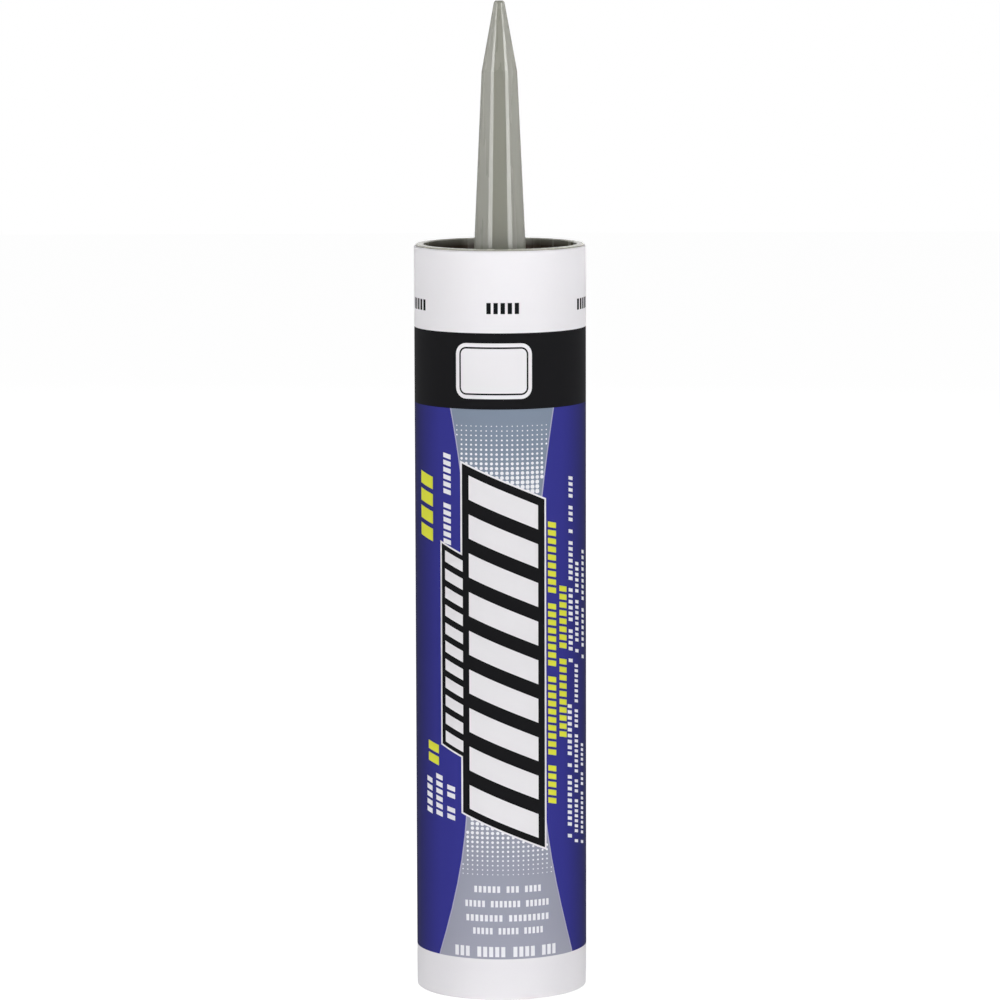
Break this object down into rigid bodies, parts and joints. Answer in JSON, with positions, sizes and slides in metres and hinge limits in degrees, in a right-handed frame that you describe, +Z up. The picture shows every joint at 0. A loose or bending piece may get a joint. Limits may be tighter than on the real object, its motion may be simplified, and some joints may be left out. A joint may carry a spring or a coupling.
{
  "type": "caulk tube",
  "caption": "Sealant cartridge: fibreboard barrel in a printed wrap, recessed end cap with a long faceted nozzle closed at its tip, and a plunger that slides in the open rear.",
  "frame": {"origin": "centre of the barrel's rear edge, on the surface that the cartridge stands on", "axes": "+Z up the barrel's axis to the nozzle's tip, -Y to the front of the label"},
  "size_m": [0.05, 0.05, 0.2884],
  "materials": {
    "fibreboard": "spiral-wound board with a foil lining inside",
    "label_blue": "glossy print, the wrap's main colour",
    "label_white": "glossy unprinted paper, bands and small print",
    "label_black": "glossy print",
    "label_grey": "glossy print, the waisted panel",
    "label_yellow": "glossy print",
    "cap_plastic": "grey moulded polyethylene, satin",
    "seal_foil": "thin bonded foil",
    "plunger_plastic": "natural moulded polyethylene, satin",
    "sealant": "smooth grey paste"
  },
  "bodies": {
    "cartridge": {"tube_body": "fibreboard", "label": "label_blue", "nozzle_cap": "cap_plastic", "inner_seal": "seal_foil", "sealant": "sealant"},
    "plunger": {"plunger": "plunger_plastic"}
  },
  "joints": [
    {"name": "plunger_slide", "type": "slide", "parent": "cartridge", "child": "plunger", "axis": [0, 0, 1], "range_m": [0, 0.1723], "deforming": ["sealant"]}
  ]
}
